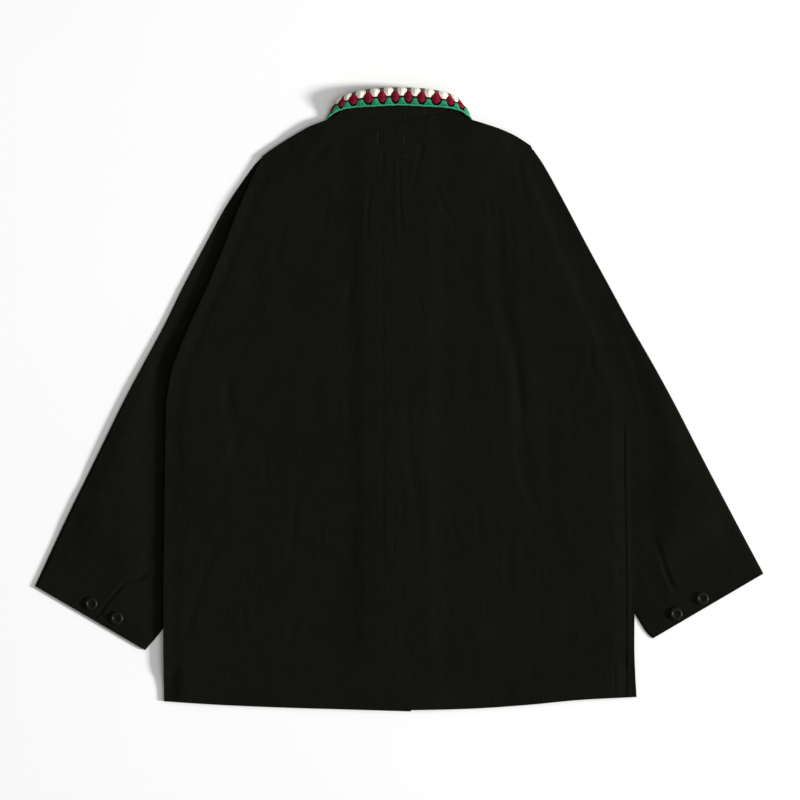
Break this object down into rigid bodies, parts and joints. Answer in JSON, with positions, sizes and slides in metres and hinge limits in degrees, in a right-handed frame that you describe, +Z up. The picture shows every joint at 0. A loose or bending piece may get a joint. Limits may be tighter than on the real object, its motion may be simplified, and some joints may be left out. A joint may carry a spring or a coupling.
{
  "type": "jacket with crocheted collar",
  "caption": "Black cotton work jacket with a crocheted collar, buttoned and laid flat on its front, showing its back and pressed sleeves.",
  "frame": {"origin": "centre of the bounding box, on the surface that the jacket lies on", "axes": "+Z up from the surface, out of the jacket's back; +X to the right and +Y to the collar, seen from above"},
  "size_m": [0.9976, 0.8544, 0.0241],
  "materials": {
    "black_cotton": "matt woven cotton",
    "crochet_yarn": "matt crocheted yarn",
    "button_plastic": "semi-gloss"
  },
  "bodies": {
    "root": {"back_left": "black_cotton", "back_right": "black_cotton", "front_left": "black_cotton", "front_right": "black_cotton", "sleeve_left": "black_cotton", "sleeve_right": "black_cotton", "cuff_flap_left": "black_cotton", "cuff_flap_right": "black_cotton", "crochet_collar": "crochet_yarn", "collar_base": "black_cotton", "cuff_button_left_1": "button_plastic", "cuff_button_left_2": "button_plastic", "cuff_button_right_1": "button_plastic", "cuff_button_right_2": "button_plastic", "front_button_1": "button_plastic", "front_button_2": "button_plastic", "front_button_3": "button_plastic", "front_button_4": "button_plastic", "front_button_5": "button_plastic"}
  },
  "joints": []
}
